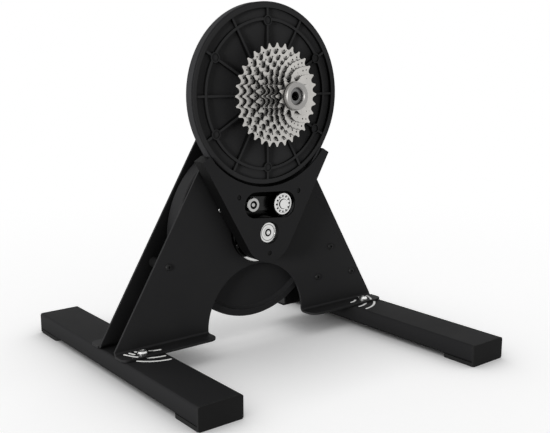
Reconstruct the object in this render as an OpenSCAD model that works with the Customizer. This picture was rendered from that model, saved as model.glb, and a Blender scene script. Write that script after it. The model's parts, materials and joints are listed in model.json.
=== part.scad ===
// Direct drive bike trainer: two A-shaped frame plates on swivelling legs carry a fixed axle.
// A cassette drives a ribbed pulley, and its belt spins a flywheel between the plates.
// X runs along the plates, -Y is the cassette side, Z is up and the floor is z = 0.

/* [Frame plates] */
// Height of the wheel axle above the floor
axle_z = 350; // [340:1:362]
// Height of the flywheel axis above the floor
flywheel_z = 164.5; // [161:0.5:168]
// Thickness of each frame plate
plate_t = 3; // [2.5:0.5:4]
// Near face of the front plate, along Y
plate_y = 8.5; // [8.5:0.5:10]
// Clear gap between the two frame plates
plate_gap = 35; // [34:1:38]
// Half of the plate width where the foot bends
foot_half = 224.5; // [220:0.5:235]
// Slope of the plate's long edges from the floor
edge_angle = 59.4; // [59:0.1:60]
// Radius of the arch cut out of each plate
arch_r = 82.5; // [76:0.5:86]
// How far the foot flange reaches out from its plate
flange_d = 26.5; // [25:0.5:34]
// Inner radius of the bend between plate and flange
bend_r = 3; // [2:0.5:4]

/* [Legs] */
// Width of a leg tube
leg_w = 60; // [56:1:62]
// Height of a leg tube
leg_h = 24; // [20:1:28]
// Length of a leg with its feet
leg_len = 425; // [405:1:440]
// Wall of a leg tube
leg_wall = 2; // [1.5:0.5:3]
// Outer corner radius of a leg tube
leg_r = 3; // [2.5:0.5:4]
// Distance of each leg from the middle of the trainer
leg_x = 193; // [188:1:193]
// How far each leg is shifted along Y, one back and one forward
leg_shift = 31; // [25:1:35]
// Place of the leg pivots along Y
pivot_y = -7.5; // [-9:0.5:-7]
// Shank radius of a pivot bolt
pivot_r = 5; // [4:0.5:6]
// Thickness of the rubber feet under the legs
pad_h = 5.3; // [4.5:0.1:7]
// Length of the part of a foot that lies under its leg
pad_len = 52; // [35:1:60]

/* [Axle and hub] */
// Outer radius of the hollow axle
axle_r = 8.5; // [8:0.1:8.8]
// Bore radius of the axle, for a 12 mm through axle
axle_bore_r = 6; // [5:0.5:6.5]
// Over-all length of the axle between its end faces
axle_len = 130; // [130:1:136]
// Cassette-side end face of the axle
axle_y = -73.5; // [-74.5:0.5:-73]
// Outer radius of the hub shell
hub_r = 24; // [23:0.5:25]

/* [Belt drive] */
// Radius of the belt's back on the large pulley
pulley_r = 120; // [116:0.5:122]
// Radius of the belt's back on the small pulley
pinion_r = 24; // [23:0.5:25]
// Number of ribs on the belt
belt_ribs = 5; // [4:1:5]
// Width of one belt rib with its groove
rib_pitch = 2.34; // [2.2:0.02:2.4]
// Thickness of the belt over its ribs
belt_t = 3.6; // [3.2:0.1:4]
// Front edge of the belt
belt_y = -17.2; // [-17.2:0.1:-16.6]
// Running gap between the belt and what it turns on
belt_gap = 0.3; // [0.25:0.05:0.4]

/* [Cassette] */
// Teeth on each sprocket, from the largest at the hub to the smallest
sprocket_teeth = [32, 28, 24, 21, 18, 16, 14, 12, 11];
// Chain pitch
chain_pitch = 12.7; // [12.6:0.05:12.8]
// Distance between neighbouring sprockets
sprocket_step = 4.35; // [4.3:0.05:4.4]
// Thickness of one sprocket
sprocket_t = 1.8; // [1.6:0.1:2.2]
// Middle plane of the largest sprocket
cassette_y = -36; // [-36.5:0.1:-35.8]
// Core radius of the splined freehub body
spline_r = 16.4; // [16.2:0.1:16.6]
// Height of the freehub splines
spline_h = 1; // [0.8:0.1:1.2]
// Outer radius of the lockring
lockring_r = 17.7; // [17.4:0.1:18.5]

/* [Flywheel] */
// Outer radius of the flywheel
flywheel_r = 125; // [118:0.5:125.5]
// Width of the flywheel rim
flywheel_w = 24; // [20:1:25]
// Radial thickness of the flywheel rim
rim_w = 10.5; // [8:0.5:14]
// Radius of the flywheel shaft
shaft_r = 5; // [4.5:0.1:5.2]

/* [Belt cover] */
// Radius of the cover round the small pulley
cover_r = 40; // [38:0.5:41]
// Angle of the cover's long edges from the vertical
cover_angle = 30; // [29.6:0.1:30.6]
// Radius of the cover's hollow top edge, round the axle
cover_top_r = 121.6; // [121:0.2:125]
// Height of the cover's tab corners above the floor
tab_z = 268; // [262:0.5:270]
// Front face of the cover
cover_y = -21; // [-21.6:0.1:-21]
// Thickness of the cover's face and skirt
cover_t = 3; // [2.5:0.1:3]
// Depth of the cover over its skirt
cover_d = 22; // [18:0.5:22.5]

/* [Hidden] */
$fn = 96;
slip = 0.05;
seat = 0.02;

leg_z = pad_h;
leg_top = leg_z + leg_h;
foot_z = leg_top + 0.2;
bend_z = foot_z + plate_t + bend_r;
edge_z = foot_z + plate_t;
arch_z = edge_z + 1.5;
top_r = (foot_half - (axle_z - edge_z) / tan(edge_angle)) * sin(edge_angle);
rear_plate_y = plate_y + plate_t + plate_gap;
frame_mid_y = plate_y + plate_t + plate_gap / 2;
frame_back_y = rear_plate_y + plate_t;

// Places of the tube spacers that hold the two plates apart, as x and z
spacer_spots = [[138, 121.5], [113, 78.5], [182, 77], [-142.5, 133]];
spacer_r = 7;
frame_bolt_r = 3;
bolt_head_r = 4.7;
bolt_head_h = 2.6;
cap_t = 3;
axle_screw_r = 21.5;
rear_screw_r = 24.5;
flange_screw_spot_r = 39.6;
flange_screw_angles = [24.5 : 90 : 294.5];
m4_hole_r = 2.1;
m4_head_r = 3.4;
m4_head_h = 1.2;
axle_flange_r = 28;
axle_flange_t = 5;

belt_w = belt_ribs * rib_pitch;
belt_back_y = belt_y + belt_w;
rib_h = belt_t / 2;
rib_base = rib_pitch * 0.36;
rib_tip = rib_pitch * 0.15;
groove_gap = 0.2;
centres = axle_z - flywheel_z;
belt_angle = asin((pulley_r - pinion_r) / centres);
belt_run = centres * cos(belt_angle);

pulley_y = belt_y - 0.3;
pulley_w = belt_w + 1.3;
pulley_body_r = pulley_r - belt_t;
lip_r = pulley_body_r - 4.4;
ring_rib_r = 99.5;
web_y = pulley_y + 4.5;
web_t = 4;
web_drop = 5;
rib_w = 3;
ring_rib_y = pulley_y + 0.5;
rib_top_y = pulley_y + 0.8;
boss_y = pulley_y + 0.2;
boss_r = 6.5;
boss_wall = 1.3;
boss_dish = 1.6;
boss_spot_r = 96;
hub_flange_r = 36;
hub_screw_spot_r = 30;
ratchet_r = 20.6;

hub_front_y = cassette_y + 6;
hub_back_y = 1.8;
bearing_w = 7;
bearing_r = 15;
ring_gap = 0.1;
inner_ring_t = 2.1;
hub_bearing_ys = [hub_front_y + 8.5, hub_back_y - bearing_w];

sprocket_count = len(sprocket_teeth);
last_sprocket_y = cassette_y - (sprocket_count - 1) * sprocket_step;
collar_y = last_sprocket_y - sprocket_t / 2 - 1.5;
lockring_back_y = collar_y - 0.1;
lockring_t = 5.2;
lockring_y = lockring_back_y - lockring_t;
lockring_hole_r = 10.6;
shoulder_y = cassette_y + sprocket_t / 2;
freehub_end_y = collar_y + 0.7;
freehub_bore_r = 13;
tail_r = 16.6;
free_bearing_w = 5;
cap_back_y = axle_y + 7.5;
free_bearing_ys = [cap_back_y, hub_front_y + 1];
axle_end_y = axle_y + axle_len;

flywheel_y = frame_mid_y - flywheel_w / 2 + 0.5;
cup_back_y = cover_y + 12.5;
pinion_body_r = pinion_r - belt_t;
cup_bore_r = 14;
cup_r = cup_bore_r + 2.1;
flange_front_y = plate_y - 6;
cover_bearing_y = cover_y + 4;
cover_bearing_w = 8;
mid_bearing_y = flange_front_y + 0.8;
mid_bearing_w = 9;
rear_bearing_y = rear_plate_y + 0.8;
shaft_front_y = cover_bearing_y - 0.4;
shaft_back_y = rear_bearing_y + cover_bearing_w + 1.5;

// Brake: magnets on a curved carrier just clear of the flywheel's rim
magnet_count = 6;
magnet_h = 4;
magnet_w = 13;
magnet_d = 20;
brake_gap = 1.5;
brake_span = 52;
carrier_in_r = flywheel_r + brake_gap + magnet_h + 0.2;
carrier_t = 12;
carrier_bolt_angle = 20;
carrier_bolt_r = carrier_in_r + carrier_t / 2;
carrier_spot = [carrier_bolt_r * sin(carrier_bolt_angle),
    flywheel_z + carrier_bolt_r * cos(carrier_bolt_angle)];
sensor_spot = [-60.4, 198.8];
bolt_spots = concat(spacer_spots, [carrier_spot, [-carrier_spot.x, carrier_spot.y]]);

// Window in the cover, over the belt tensioner: pivot and idler centres as x and z
tension_pivot = [-24, 205];
idler_spot = [26.6, 201.4];
window_pivot_r = 17.5;
window_idler_r = 18.2;
cover_screw_spots = [[-50.6, 218], [50.6, 218], [0, flywheel_z - pinion_r - 4]];
standoff_r = 3;
cover_screw_r = 1.55;
cover_screw_len = 10;
cover_head_r = 2.9;
cover_head_h = 1.1;
cover_sink = 2;
idler_bearing_r = 15;
idler_y = cover_y + 4.5;
idler_bearing_w = 9;
belt_to_idler = pinion_r - belt_t - idler_spot.x * cos(belt_angle)
    + (idler_spot.y - flywheel_z) * sin(belt_angle);
idler_r = belt_to_idler - belt_gap;
arm_y = belt_back_y + 0.8;
arm_t = 5;

// A flat piece drawn in X and Z, from y to y + t
module flat(y, t) {
    translate([0, y + t, 0]) rotate([90, 0, 0]) linear_extrude(t) children();
}

// A turned piece on an axis along Y, whose outline is drawn as radius and y
module turned(spot) {
    translate([spot.x, 0, spot.y]) rotate([-90, 0, 0]) rotate_extrude() children();
}

// A round bar along Y
module rod(spot, y1, y2, r) {
    translate([spot.x, y1, spot.y]) rotate([-90, 0, 0]) cylinder(r = r, h = y2 - y1);
}

// A plain ring along Y
module ring(spot, y1, y2, r_out, r_in) {
    difference() {
        rod(spot, y1, y2, r_out);
        rod(spot, y1 - 1, y2 + 1, r_in);
    }
}

// What rounds a flat outline's corner: dx and dy point out of the outline
module corner_cut(x, y, r, dx, dy) {
    translate([x - dx * r, y - dy * r]) difference() {
        polygon([[0, 0], [dx * (r + 1), 0], [dx * (r + 1), dy * (r + 1)], [0, dy * (r + 1)]]);
        circle(r = r);
    }
}

axle_spot = [0, axle_z];
shaft_spot = [0, flywheel_z];

module both_sides() {
    children();
    mirror([1, 0, 0]) children();
}

// Frame plates

module plate_outline() {
    edge_x = foot_half - (bend_z - edge_z) / tan(edge_angle);
    tip = [top_r * sin(edge_angle), axle_z + top_r * cos(edge_angle)];
    difference() {
        union() {
            translate([0, axle_z]) circle(r = top_r);
            polygon([[-edge_x, bend_z], [edge_x, bend_z], tip, [-tip.x, tip.y]]);
        }
        translate([0, arch_z]) circle(r = arch_r);
        translate([0, axle_z]) circle(r = axle_r + seat);
        translate([0, flywheel_z]) circle(r = 20);
        for (s = bolt_spots) translate(s) circle(r = frame_bolt_r + slip);
    }
}

module foot_flange(pivot_hole_r) {
    front_y = plate_y + plate_t - flange_d - plate_t;
    back_y = plate_y - bend_r;
    difference() {
        translate([0, 0, foot_z]) linear_extrude(plate_t) difference() {
            translate([arch_r, front_y]) square([foot_half - arch_r, back_y - front_y]);
            corner_cut(arch_r, front_y, 14, -1, -1);
            corner_cut(foot_half, front_y, 10, 1, -1);
        }
        if (pivot_hole_r > 0)
            translate([leg_x, pivot_y, foot_z - 1]) cylinder(r = pivot_hole_r, h = plate_t + 2);
    }
    translate([arch_r, 0, 0]) rotate([90, 0, 90]) linear_extrude(foot_half - 1.8 - arch_r)
        translate([plate_y - bend_r, bend_z]) intersection() {
            difference() {
                circle(r = bend_r + plate_t);
                circle(r = bend_r);
            }
            translate([0, -bend_r - plate_t]) square(bend_r + plate_t);
        }
}

module plate(pivot_hole_r) {
    flat(plate_y, plate_t) plate_outline();
    both_sides() foot_flange(pivot_hole_r);
}

module front_plate() {
    color("#262626") difference() {
        plate(pivot_r + seat);
        rod(sensor_spot, plate_y - 1, plate_y + plate_t + 1, m4_hole_r);
        for (a = [45 : 90 : 315]) rotate_about(axle_spot, a)
            rod([axle_screw_r, axle_z], plate_y - 1, plate_y + plate_t + 1, m4_hole_r);
        for (a = flange_screw_angles) rotate_about(shaft_spot, a)
            rod([flange_screw_spot_r, flywheel_z], plate_y - 1, plate_y + plate_t + 1, m4_hole_r);
    }
}

module rear_plate() {
    color("#222222") difference() {
        translate([0, 2 * frame_mid_y, 0]) mirror([0, 1, 0]) plate(0);
        for (a = [45 : 90 : 315]) rotate_about(shaft_spot, a)
            rod([rear_screw_r, flywheel_z], rear_plate_y - 1, frame_back_y + 1, m4_hole_r);
    }
}

module at_spots(spots) {
    for (s = spots) translate([s.x, 0, s.y]) children();
}

module frame_spacers() {
    color("#303030") at_spots(spacer_spots)
        ring([0, 0], plate_y + plate_t, rear_plate_y, spacer_r, frame_bolt_r + slip);
}

// A screw along Y with a domed head and a hexagon socket; the head's seat is at y
module socket_screw(y, length, r, head_r, head_h) {
    difference() {
        turned([0, 0]) polygon(concat(
            [[0, y - head_h], [head_r * 0.5, y - head_h], [head_r * 0.85, y - head_h * 0.75],
             [head_r, y - head_h * 0.3], [head_r, y], [r, y], [r, y + length], [0, y + length]]));
        rod([0, 0], y - head_h - 1, y - head_h * 0.35, head_r * 0.45, $fn = 6);
    }
}

module frame_bolts() {
    color("#1a1a1a") at_spots(bolt_spots)
        socket_screw(plate_y, frame_back_y - plate_y + 5.5, frame_bolt_r, bolt_head_r, bolt_head_h);
}

module frame_nuts() {
    color("#1a1a1a") at_spots(bolt_spots) difference() {
        translate([0, frame_back_y, 0]) rotate([-90, 0, 0]) cylinder(r = 5.7, h = 5, $fn = 6);
        rod([0, 0], frame_back_y - 1, frame_back_y + 6, frame_bolt_r + seat);
    }
}

// Legs

module leg_section(inset, low_z) {
    w = leg_w / 2 - inset;
    r = leg_r - inset;
    z2 = leg_top - inset;
    difference() {
        translate([-w, low_z]) square([2 * w, z2 - low_z]);
        for (dx = [-1, 1]) {
            corner_cut(dx * w, low_z, r, dx, -1);
            corner_cut(dx * w, z2, r, dx, 1);
        }
    }
}

module leg_tube(side) {
    tube_y = -side * leg_shift - leg_len / 2 + cap_t;
    tube_len = leg_len - 2 * cap_t;
    difference() {
        translate([side * leg_x, 0, 0]) flat(tube_y, tube_len) leg_section(0, leg_z);
        translate([side * leg_x, 0, 0]) flat(tube_y - 1, tube_len + 2)
            leg_section(leg_wall, leg_z + leg_wall);
        translate([side * leg_x, pivot_y, leg_z - 1]) cylinder(r = pivot_r + slip, h = leg_h + 2);
    }
}

// A moulded foot closes the tube's end, plugs into it and wraps under it
module leg_feet(side) {
    plug = leg_wall + slip;
    pad_w = leg_w - 1;
    for (end = [-1, 1])
        translate([side * leg_x, -side * leg_shift + end * leg_len / 2, 0]) scale_y(end) {
            flat(-cap_t - 14, 14) leg_section(plug, leg_z + plug);
            flat(-cap_t, cap_t) leg_section(0, 0);
            translate([0, -pad_len, 0]) linear_extrude(pad_h) difference() {
                translate([-pad_w / 2, 0]) square([pad_w, pad_len - cap_t]);
                for (dx = [-1, 1]) corner_cut(dx * pad_w / 2, 0, 5, dx, -1);
            }
        }
}

module scale_y(end) {
    if (end > 0) children();
    else mirror([0, 1, 0]) children();
}

module leg_sleeve(side) {
    translate([side * leg_x, pivot_y, leg_z + leg_wall]) difference() {
        cylinder(r = pivot_r + 3.5, h = leg_h - 2 * leg_wall);
        translate([0, 0, -1]) cylinder(r = pivot_r + slip, h = leg_h);
    }
}

module leg_tube_left() { color("#242424") leg_tube(-1); }
module leg_tube_right() { color("#242424") leg_tube(1); }
module leg_feet_left() { color("#141414") leg_feet(-1); }
module leg_feet_right() { color("#141414") leg_feet(1); }
module leg_sleeve_left() { color("silver") leg_sleeve(-1); }
module leg_sleeve_right() { color("silver") leg_sleeve(1); }

nut_t = 2.4;
pivot_nut_r = 9;
pin_hole_r = 0.9;
pivot_head_r = 6.6;
pivot_head_h = 4.8;

module pivot_bolts() {
    head_z = foot_z + plate_t;
    color("silver") both_sides() translate([leg_x, pivot_y, 0]) difference() {
        rotate_extrude() polygon([
            [0, leg_z - nut_t], [pivot_r, leg_z - nut_t], [pivot_r, head_z], [pivot_head_r, head_z],
            [pivot_head_r, head_z + 0.45 * pivot_head_h],
            [0.82 * pivot_head_r, head_z + 0.83 * pivot_head_h],
            [0.52 * pivot_head_r, head_z + pivot_head_h], [0, head_z + pivot_head_h]]);
        translate([0, 0, head_z + 0.42 * pivot_head_h])
            cylinder(r = 0.45 * pivot_head_r, h = pivot_head_h, $fn = 6);
    }
}

module pivot_nuts() {
    color("silver") both_sides() translate([leg_x, pivot_y, leg_z - nut_t - 0.2]) difference() {
        cylinder(r = pivot_nut_r, h = nut_t);
        translate([0, 0, -1]) cylinder(r = pivot_r + seat, h = nut_t + 2);
        for (a = [0, 180]) rotate(a) translate([pivot_nut_r - 2, 0, -1])
            cylinder(r = pin_hole_r, h = nut_t + 2);
    }
}

// Axle and its mounting

module axle_tube() {
    color("#3a3a3a") ring(axle_spot, axle_y + 2, axle_end_y, axle_r, axle_bore_r);
}

module axle_end_cap() {
    color("#2c2c2c") difference() {
        rod(axle_spot, axle_y, cap_back_y, axle_r + 1.6);
        rod(axle_spot, axle_y - 1, cap_back_y + 1, axle_bore_r);
        rod(axle_spot, axle_y + 2, cap_back_y + 1, axle_r + seat);
    }
}

// Turned flange that seats the axle on the front plate
module axle_flange() {
    color("#b4b4b2") difference() {
        union() {
            rod(axle_spot, plate_y - axle_flange_t, plate_y, axle_flange_r);
            rod(axle_spot, hub_back_y, plate_y - axle_flange_t, axle_r + inner_ring_t);
        }
        rod(axle_spot, hub_back_y - 1, plate_y + 1, axle_r + seat);
        for (a = [0 : 90 : 270]) rotate_about(axle_spot, a + 45)
            rod([axle_screw_r, axle_z], plate_y - axle_flange_t - 1, plate_y + 1, m4_hole_r);
    }
}

// Turns its children about an axis along Y
module rotate_about(spot, a) {
    translate([spot.x, 0, spot.y]) rotate([0, -a, 0]) translate([-spot.x, 0, -spot.y]) children();
}

module axle_spacer() {
    color("#b4b4b2") ring(axle_spot, plate_y + plate_t, rear_plate_y, 14, axle_r + seat);
}

module axle_nut() {
    color("#b4b4b2") difference() {
        translate([0, frame_back_y, axle_z]) rotate([-90, 0, 0]) cylinder(r = 15, h = 4.6, $fn = 6);
        rod(axle_spot, frame_back_y - 1, frame_back_y + 6, axle_r + seat);
    }
}

// Sleeves between the inner rings of the bearings on the axle
module axle_sleeves() {
    ends = [[free_bearing_ys[0] + free_bearing_w, free_bearing_ys[1]],
            [free_bearing_ys[1] + free_bearing_w, hub_bearing_ys[0]],
            [hub_bearing_ys[0] + bearing_w, hub_bearing_ys[1]]];
    color("#a8a8a6") for (e = ends) ring(axle_spot, e[0], e[1], axle_r + 1.8, axle_r + seat);
}

// Bearings: an outer ring with its shields, and an inner ring that runs in it

module outer_ring(spot, y, w, r_out, bore_r) {
    turned(spot) polygon([
        [r_out - 0.4, y], [r_out, y + 0.4], [r_out, y + w - 0.4], [r_out - 0.4, y + w],
        [r_out - 2, y + w], [r_out - 2.1, y + w - 0.5], [bore_r + inner_ring_t + ring_gap, y + w - 0.5],
        [bore_r + inner_ring_t + ring_gap, y + 0.5], [r_out - 2.1, y + 0.5], [r_out - 2, y]]);
}

module inner_ring(spot, y, w, bore_r) {
    ring(spot, y, y + w, bore_r + inner_ring_t, bore_r + seat);
}

module hub_bearing_outers() {
    color("#a9a9a7") for (y = hub_bearing_ys)
        outer_ring(axle_spot, y, bearing_w, bearing_r, axle_r);
}

module hub_bearing_inners() {
    color("#c4c4c2") for (y = hub_bearing_ys) inner_ring(axle_spot, y, bearing_w, axle_r);
}

module freehub_bearing_outers() {
    color("#a9a9a7") for (y = free_bearing_ys)
        outer_ring(axle_spot, y, free_bearing_w, freehub_bore_r, axle_r);
}

module freehub_bearing_inners() {
    color("#c4c4c2") for (y = free_bearing_ys) inner_ring(axle_spot, y, free_bearing_w, axle_r);
}

// Each row is the place along Y, the width and the outer radius of a bearing on the shaft
shaft_bearings = [
    [cover_bearing_y, cover_bearing_w, cup_bore_r],
    [mid_bearing_y, mid_bearing_w, bearing_r],
    [rear_bearing_y, cover_bearing_w, cup_bore_r]
];

module shaft_bearing_outers() {
    color("#cfcfcd") for (b = shaft_bearings)
        outer_ring(shaft_spot, b[0], b[1], b[2] - seat, shaft_r);
}

module shaft_bearing_inners() {
    color("#dcdcda") for (b = shaft_bearings) inner_ring(shaft_spot, b[0], b[1], shaft_r);
}

// Drive pulley on its hub

// Ribbed surface from back to front, as radius and y; ribs are raised on the belt
function rib_points(r_low, r_high, half_low, half_high) = [
    for (i = [0 : belt_ribs - 1])
        let (mid = belt_y + (i + 0.5) * rib_pitch)
        each [[r_high, mid - half_high], [r_low, mid - half_low],
              [r_low, mid + half_low], [r_high, mid + half_high]]
];

// Grooves of a pulley whose belt back has radius r
function groove_points(r) = rib_points(
    r - belt_t - belt_gap, r - rib_h - belt_gap,
    rib_tip + groove_gap / 2, rib_base + groove_gap / 2);

module drive_pulley() {
    land_r = pulley_r - rib_h - belt_gap;
    hub_hole_r = hub_r + seat;
    color("#262626") difference() {
        union() {
            turned(axle_spot) polygon(concat(
                [[lip_r, pulley_y], [land_r - 1, pulley_y], [land_r, pulley_y + 0.3]],
                groove_points(pulley_r),
                [[land_r, pulley_y + pulley_w], [lip_r + 1, pulley_y + pulley_w],
                 [lip_r + 1, web_y + web_t], [ring_rib_r - 3, web_y + web_t],
                 [hub_flange_r, web_y + web_t + web_drop], [hub_hole_r, web_y + web_t + web_drop],
                 [hub_hole_r, web_y + web_drop], [hub_flange_r, web_y + web_drop],
                 [ring_rib_r - 3.5, web_y], [ring_rib_r - 3.5, ring_rib_y],
                 [ring_rib_r, ring_rib_y], [ring_rib_r, web_y], [lip_r, web_y]]));
            intersection() {
                flat(rib_top_y, web_y + web_drop + 0.5 - rib_top_y) difference() {
                    for (a = [0 : 30 : 150]) translate([0, axle_z]) rotate(a)
                        square([2 * lip_r + 1, rib_w], center = true);
                    translate([0, axle_z]) circle(r = hub_flange_r + 1);
                }
                turned(axle_spot) polygon([
                    [0, rib_top_y], [lip_r + 0.5, rib_top_y], [lip_r + 0.5, web_y + 0.5],
                    [ring_rib_r - 3, web_y + 0.5], [hub_flange_r, web_y + web_drop + 0.5],
                    [0, web_y + web_drop + 0.5]]);
            }
            for (a = [30 : 60 : 330]) rotate_about(axle_spot, a)
                rod([boss_spot_r, axle_z], boss_y, web_y + 1, boss_r);
        }
        for (a = [30 : 60 : 330]) rotate_about(axle_spot, a)
            rod([boss_spot_r, axle_z], boss_y - 1, boss_y + boss_dish, boss_r - boss_wall);
        for (a = [0 : 60 : 300]) rotate_about(axle_spot, a)
            rod([hub_screw_spot_r, axle_z], web_y, web_y + web_t + web_drop + 1, 2.6);
    }
}

module hub_shell() {
    flange_y = web_y + web_t + web_drop;
    color("#8f8f8d") difference() {
        turned(axle_spot) polygon([
            [ratchet_r, hub_front_y], [hub_r - 0.5, hub_front_y], [hub_r, hub_front_y + 0.5],
            [hub_r, flange_y], [hub_flange_r - 1, flange_y], [hub_flange_r - 1, flange_y + 2.6],
            [hub_r, flange_y + 4], [hub_r - 2, hub_back_y], [bearing_r + seat, hub_back_y],
            [bearing_r + seat, hub_bearing_ys[1]], [bearing_r - 1.5, hub_bearing_ys[1]],
            [bearing_r - 1.5, hub_bearing_ys[0] + bearing_w],
            [bearing_r + seat, hub_bearing_ys[0] + bearing_w],
            [bearing_r + seat, hub_bearing_ys[0]], [bearing_r + seat, hub_front_y + 8],
            [ratchet_r, hub_front_y + 8]]);
        for (a = [0 : 60 : 300]) rotate_about(axle_spot, a)
            rod([hub_screw_spot_r, axle_z], flange_y - 1, flange_y + 4, 2.6);
    }
}

module hub_screws() {
    color("#1a1a1a") for (a = [0 : 60 : 300]) rotate_about(axle_spot, a)
        translate([hub_screw_spot_r, 0, axle_z])
            socket_screw(web_y + web_drop, web_t + 2.5, 2.5, 4.4, 2.6);
}

ratchet_teeth = 24;
pawl_in_r = 14.5;
pawl_y = hub_front_y + 1;
pawl_w = 5.5;
pawl_angle = 34;

module ratchet_ring() {
    tip_r = tail_r + 0.5;
    root_r = tip_r + 1.6;
    step = 360 / ratchet_teeth;
    color("#7c7c7a") flat(hub_front_y + 0.4, 7.4) translate([0, axle_z]) difference() {
        circle(r = ratchet_r - seat);
        polygon([for (i = [0 : ratchet_teeth - 1]) each [
            [tip_r * cos(i * step), tip_r * sin(i * step)],
            [root_r * cos((i + 0.15) * step), root_r * sin((i + 0.15) * step)]]]);
    }
}

// A sector of a ring round the axle, from r1 to r2 and spanning the angle a
module sector(r1, r2, a) {
    far = 1.5 * r2;
    intersection() {
        difference() {
            circle(r = r2);
            circle(r = r1);
        }
        polygon([[0, 0], [far * cos(a / 2), -far * sin(a / 2)], [far * cos(a / 2), far * sin(a / 2)]]);
    }
}

// Three pawls, drawn folded into their pockets as they are while coasting
module freehub_pawls() {
    color("#6c6c6a") for (a = [0 : 120 : 240])
        flat(pawl_y + slip, pawl_w - 2 * slip) translate([0, axle_z]) rotate(a)
            sector(pawl_in_r + slip, tail_r + 0.15, pawl_angle - 1);
}

// Cassette

function pitch_r(teeth) = chain_pitch / 2 / sin(180 / teeth);

// One valley between teeth: an arc that seats the chain roller, then the next tooth's tip
roller_r = 3.95;
tip_h = 2.3;
tip_half = 0.9;
valley_angles = [-68, -34, 0, 34, 68];

function sprocket_points(teeth) = [
    for (i = [0 : teeth - 1])
        let (a = (i + 0.5) * 360 / teeth, p = pitch_r(teeth), b = (i + 1) * 360 / teeth,
             t = p + tip_h, half = tip_half / t * 180 / PI)
        each concat(
            [for (v = valley_angles) [
                (p - roller_r * cos(v)) * cos(a) - roller_r * sin(v) * sin(a),
                (p - roller_r * cos(v)) * sin(a) + roller_r * sin(v) * cos(a)]],
            [[t * cos(b - half), t * sin(b - half)], [t * cos(b + half), t * sin(b + half)]])
];

module spline_outline(grow) {
    circle(r = spline_r + grow);
    for (a = [0 : 40 : 320]) rotate(a) translate([spline_r - 2, -1.5 - grow])
        square([spline_h + 2 + grow, 3 + 2 * grow]);
}

// Rivet-sized holes sit inside the teeth of the larger sprockets
module sprocket(index) {
    teeth = sprocket_teeth[index];
    y = cassette_y - index * sprocket_step - sprocket_t / 2;
    hole_spot_r = pitch_r(teeth) - 6;
    color("#bebab5") flat(y, sprocket_t) translate([0, axle_z]) difference() {
        polygon(sprocket_points(teeth));
        spline_outline(slip);
        if (hole_spot_r > 28)
            for (i = [0 : teeth - 1]) rotate(i * 360 / teeth) translate([hole_spot_r, 0])
                circle(r = 1.15);
    }
}

module sprocket_32() { sprocket(0); }
module sprocket_28() { sprocket(1); }
module sprocket_24() { sprocket(2); }
module sprocket_21() { sprocket(3); }
module sprocket_18() { sprocket(4); }
module sprocket_16() { sprocket(5); }
module sprocket_14() { sprocket(6); }
module sprocket_12() { sprocket(7); }
module sprocket_11() {
    sprocket(8);
    color("#bebab5") flat(collar_y, 1.5 + seat) translate([0, axle_z]) difference() {
        circle(r = lockring_r);
        spline_outline(slip);
    }
}

module sprocket_spacers() {
    color("#3c3c3c") for (i = [0 : sprocket_count - 2]) {
        y = cassette_y - (i + 1) * sprocket_step + sprocket_t / 2;
        flat(y, sprocket_step - sprocket_t) translate([0, axle_z]) difference() {
            circle(r = spline_r + spline_h + 1.4);
            spline_outline(slip);
        }
    }
}

module freehub_body() {
    color("#9a9a98") difference() {
        union() {
            flat(freehub_end_y, shoulder_y - freehub_end_y) translate([0, axle_z])
                spline_outline(0);
            rod(axle_spot, shoulder_y, hub_front_y - 0.6, spline_r + 3);
            rod(axle_spot, hub_front_y - 1, hub_front_y + 7.4, tail_r);
        }
        rod(axle_spot, freehub_end_y - 1, hub_front_y + 8, freehub_bore_r + seat);
        rod(axle_spot, freehub_end_y - 1, cap_back_y - 0.6, freehub_bore_r + 2);
        for (a = [0 : 120 : 240]) flat(pawl_y, pawl_w) translate([0, axle_z]) rotate(a)
            sector(pawl_in_r, tail_r + 1, pawl_angle);
    }
}

module lockring() {
    notches = 12;
    color("#c6c3bd") difference() {
        turned(axle_spot) polygon([
            [lockring_hole_r, lockring_y + 1.2], [lockring_hole_r + 1.2, lockring_y],
            [lockring_r - 1.2, lockring_y], [lockring_r, lockring_y + 1.2],
            [lockring_r, lockring_back_y], [freehub_bore_r + 1.9, lockring_back_y],
            [freehub_bore_r + 1.9, cap_back_y - 1], [freehub_bore_r, cap_back_y - 1],
            [freehub_bore_r, lockring_back_y - 1], [lockring_hole_r, lockring_back_y - 1]]);
        for (i = [0 : notches - 1]) rotate_about(axle_spot, i * 360 / notches)
            translate([lockring_hole_r - 0.5, lockring_y + 1.6, axle_z - 0.9])
                cube([1.3, lockring_t, 1.8]);
    }
}

// Belt drive

module belt_profile(r) {
    polygon(concat(
        [[r, belt_back_y - 0.3], [r - 0.3, belt_back_y], [r - rib_h, belt_back_y]],
        [for (i = [belt_ribs - 1 : -1 : 0])
            let (mid = belt_y + (i + 0.5) * rib_pitch)
            each [[r - rib_h, mid + rib_base], [r - belt_t, mid + rib_tip],
                  [r - belt_t, mid - rib_tip], [r - rib_h, mid - rib_base]]],
        [[r - rib_h, belt_y], [r - 0.3, belt_y], [r, belt_y + 0.3]]));
}

// Part of a turn of the belt: a turn starts at +X and goes down through -Z
module belt_arc(spot, r, start, turn) {
    translate([spot.x, 0, spot.y]) rotate([0, start, 0]) rotate([-90, 0, 0])
        rotate_extrude(angle = turn) belt_profile(r);
}

// A straight run lies against the two pulleys on the side that dx gives
module belt_straight(dx) {
    translate([0, 0, flywheel_z]) scale_x(dx) rotate([0, belt_angle, 0])
        linear_extrude(belt_run) belt_profile(pinion_r);
}

module scale_x(dx) {
    if (dx > 0) children();
    else mirror([1, 0, 0]) children();
}

module drive_belt() {
    color("#3a3a3a") {
        belt_arc(axle_spot, pulley_r, 180 - belt_angle, 180 + 2 * belt_angle);
        belt_arc(shaft_spot, pinion_r, belt_angle, 180 - 2 * belt_angle);
        belt_straight(1);
        belt_straight(-1);
    }
}

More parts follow.
